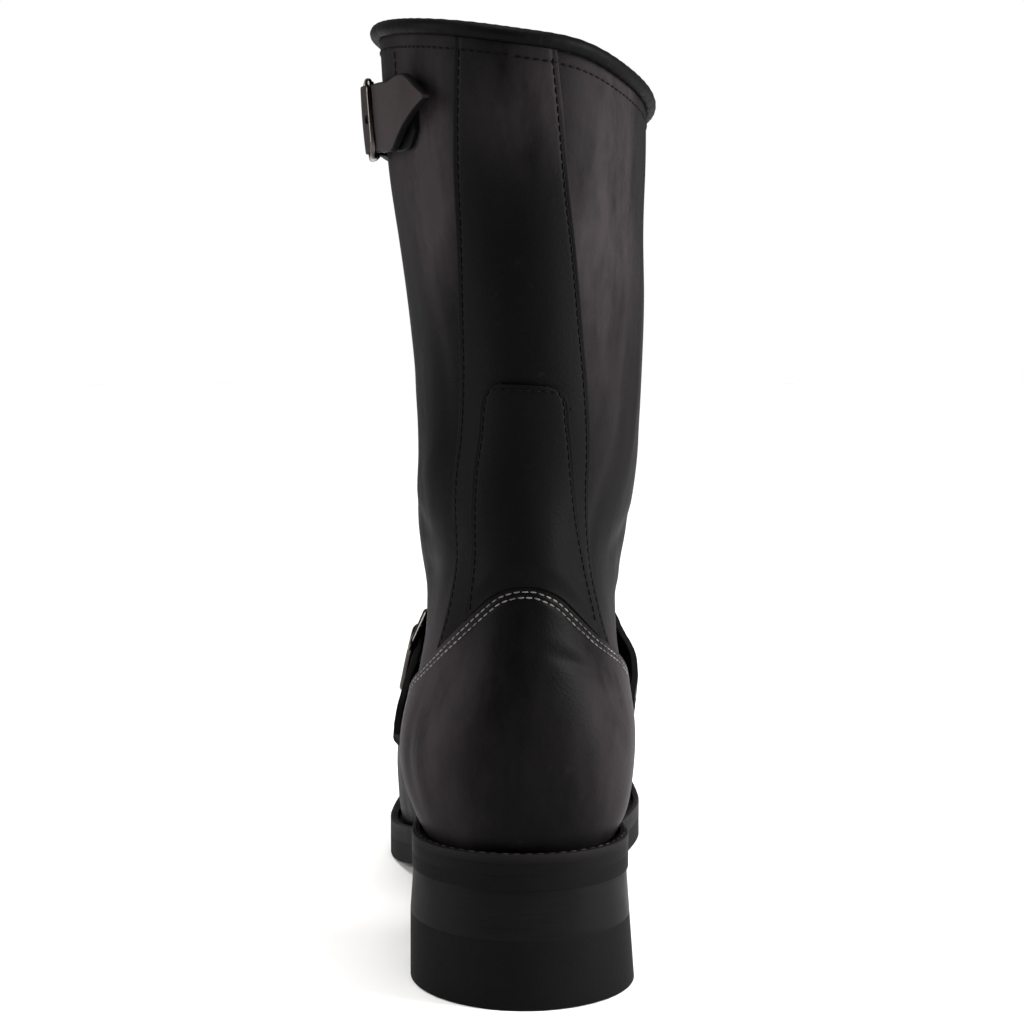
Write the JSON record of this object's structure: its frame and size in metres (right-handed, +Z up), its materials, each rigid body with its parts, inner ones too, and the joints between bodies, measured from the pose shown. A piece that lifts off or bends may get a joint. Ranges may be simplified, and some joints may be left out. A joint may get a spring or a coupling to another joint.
{
  "type": "motorcycle boot",
  "caption": "Left engineer-style motorcycle boot with a hollow pull-on shaft, rolled collar, stitched counter, ankle and top straps with buckles, welted sole and stacked heel.",
  "frame": {"origin": "middle of the heel's tread, on the floor that the boot stands on", "axes": "+Y to the toe, +X to the inner (medial) side of the left foot, +Z up the shaft"},
  "size_m": [0.1084, 0.3068, 0.3196],
  "materials": {
    "shaft_leather": "black waxed leather, satin",
    "strap_leather": "black strap leather with pale cut edges",
    "sole_leather": "blackened and waxed edge",
    "sole_rubber": "dull black",
    "insole_board": "plain tan",
    "buckle_nickel": "worn nickel plate"
  },
  "bodies": {
    "root": {"ankle_buckle": "buckle_nickel", "ankle_chape": "strap_leather", "ankle_prong": "buckle_nickel", "ankle_strap": "strap_leather", "back_patch": "shaft_leather", "back_strip": "shaft_leather", "collar_binding": "shaft_leather", "counter": "shaft_leather", "heel_lift": "sole_rubber", "heel_stack": "sole_leather", "insole": "insole_board", "midsole": "sole_leather", "outsole": "sole_rubber", "top_buckle": "buckle_nickel", "top_chape": "strap_leather", "top_prong": "buckle_nickel", "top_strap": "strap_leather", "upper": "shaft_leather", "vamp": "shaft_leather", "welt": "sole_leather"}
  },
  "joints": []
}
